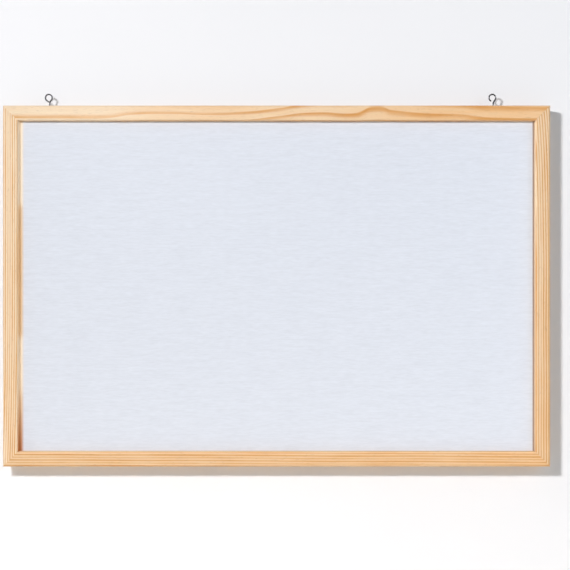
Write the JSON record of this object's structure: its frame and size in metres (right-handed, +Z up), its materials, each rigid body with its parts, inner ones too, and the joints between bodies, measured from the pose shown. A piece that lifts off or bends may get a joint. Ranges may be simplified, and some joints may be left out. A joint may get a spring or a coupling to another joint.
{
  "type": "magnetic whiteboard",
  "caption": "Wall-hung magnetic whiteboard: white lacquered steel face in a mitred pine frame, hung by two screw eyes in the top rail.",
  "frame": {"origin": "on the back of the top rail, at mid-width and halfway up its flat back strip, where the board lies on the wall", "axes": "+X to the right seen from the front, +Y into the wall, so the writing face looks along -Y, +Z up"},
  "size_m": [0.6, 0.018, 0.411],
  "materials": {
    "pine": "planed pine, clear matt finish, straight and flamed grain",
    "white_lacquer": "semi-gloss white lacquer with faint level streaks, on steel",
    "fibreboard": "raw medium-density fibreboard",
    "hardboard": "smooth brown hardboard",
    "blued_steel": "blued spring steel",
    "zinc_plate": "bright zinc plate"
  },
  "bodies": {
    "board": {"rail_top": "pine", "rail_right": "pine", "rail_bottom": "pine", "rail_left": "pine", "steel_sheet": "white_lacquer", "core_board": "fibreboard", "backing_board": "hardboard", "corner_nail_top_left_outer": "blued_steel", "corner_nail_top_left_inner": "blued_steel", "corner_nail_top_right_outer": "blued_steel", "corner_nail_top_right_inner": "blued_steel", "corner_nail_bottom_right_outer": "blued_steel", "corner_nail_bottom_right_inner": "blued_steel", "corner_nail_bottom_left_outer": "blued_steel", "corner_nail_bottom_left_inner": "blued_steel", "panel_point_top_1": "blued_steel", "panel_point_top_2": "blued_steel", "panel_point_top_3": "blued_steel", "panel_point_top_4": "blued_steel", "panel_point_right_1": "blued_steel", "panel_point_right_2": "blued_steel", "panel_point_right_3": "blued_steel", "panel_point_bottom_1": "blued_steel", "panel_point_bottom_2": "blued_steel", "panel_point_bottom_3": "blued_steel", "panel_point_bottom_4": "blued_steel", "panel_point_left_1": "blued_steel", "panel_point_left_2": "blued_steel", "panel_point_left_3": "blued_steel"},
    "eye_left": {"screw_eye_left": "zinc_plate"},
    "eye_right": {"screw_eye_right": "zinc_plate"}
  },
  "joints": [
    {"name": "left_eye_turn", "type": "hinge", "parent": "board", "child": "eye_left", "pos_m": [-0.252, -0.009, 0.006], "axis": [0, 0, 1], "range_deg": [-90, 90]},
    {"name": "right_eye_turn", "type": "hinge", "parent": "board", "child": "eye_right", "pos_m": [0.239, -0.009, 0.006], "axis": [0, 0, 1], "range_deg": [-90, 90]}
  ]
}
